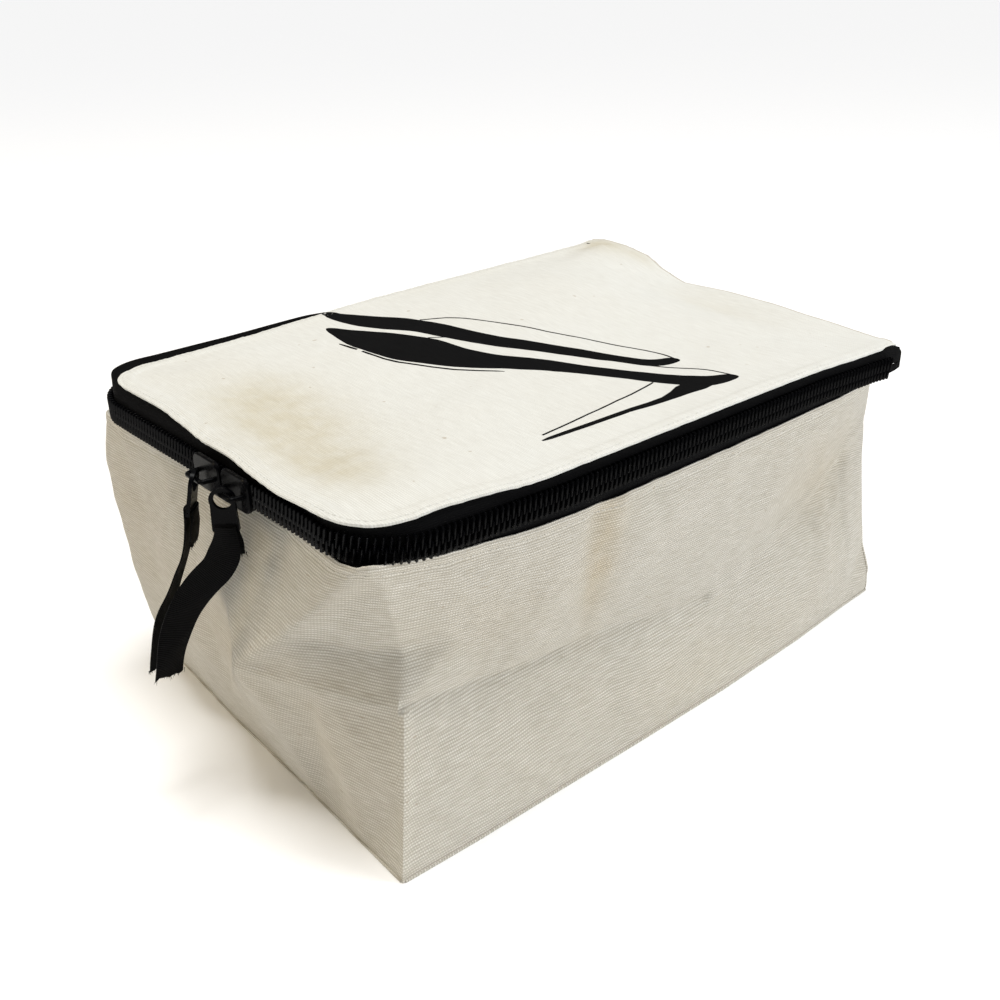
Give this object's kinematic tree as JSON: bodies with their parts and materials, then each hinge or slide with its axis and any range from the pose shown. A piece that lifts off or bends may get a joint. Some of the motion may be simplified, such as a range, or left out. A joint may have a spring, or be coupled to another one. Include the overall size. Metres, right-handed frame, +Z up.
{
  "type": "zip-top shoe box",
  "caption": "Soft canvas shoe box with a flat base, upright walls and a lid sewn along the back and closed by a coil zip round three sides, with ribbon-tailed sliders.",
  "frame": {"origin": "centre of the underside, on the surface the box stands on", "axes": "+Z up; the box's long side runs along Y, with the sliders on the short front wall at -Y and the lid's sewn seam along the short back wall at +Y"},
  "size_m": [0.22, 0.3627, 0.155],
  "materials": {
    "canvas": "natural cream ribbed cotton canvas, unbleached, matte",
    "lid_canvas": "off-white plain-weave cotton canvas, matte",
    "zip_tape": "black woven polyester tape",
    "zip_coil": "black moulded nylon coil, slight sheen",
    "slider_metal": "black enamelled die-cast zinc, semi-gloss",
    "ribbon": "black grosgrain ribbon, cut ends frayed",
    "binding": "cream cotton twill seam binding, matte"
  },
  "bodies": {
    "bag": {"base_panel": "canvas", "side_gusset": "canvas", "back_panel": "canvas", "hinge_seam": "binding", "lower_zip_tape": "zip_tape", "lower_zip_coil": "zip_coil", "base_seam_binding": "binding", "corner_seam_bindings": "binding", "hinge_seam_binding": "binding"},
    "lid": {"lid_panel": "lid_canvas", "upper_zip_tape": "zip_tape", "upper_zip_coil": "zip_coil", "lid_seam_binding": "binding"},
    "left_slider": {"left_slider": "slider_metal"},
    "right_slider": {"right_slider": "slider_metal"},
    "left_puller": {"left_pull_tab": "slider_metal", "left_pull_ribbon": "ribbon"},
    "right_puller": {"right_pull_tab": "slider_metal", "right_pull_ribbon": "ribbon"}
  },
  "joints": [
    {"name": "lid_hinge", "type": "hinge", "parent": "bag", "child": "lid", "pos_m": [0, 0.1635, 0.1535], "axis": [-1, 0, 0], "range_deg": [0, 180]},
    {"name": "left_slide", "type": "slide", "parent": "bag", "child": "left_slider", "axis": [1, 0, 0], "range_m": [-0.078, 0]},
    {"name": "right_slide", "type": "slide", "parent": "bag", "child": "right_slider", "axis": [1, 0, 0], "range_m": [0, 0.04]},
    {"name": "left_pull_swing", "type": "hinge", "parent": "left_slider", "child": "left_puller", "pos_m": [0.008, -0.17415, 0.144], "axis": [-1, 0, 0], "range_deg": [0, 150]},
    {"name": "right_pull_swing", "type": "hinge", "parent": "right_slider", "child": "right_puller", "pos_m": [0.03, -0.17415, 0.144], "axis": [-1, 0, 0], "range_deg": [0, 150]}
  ]
}
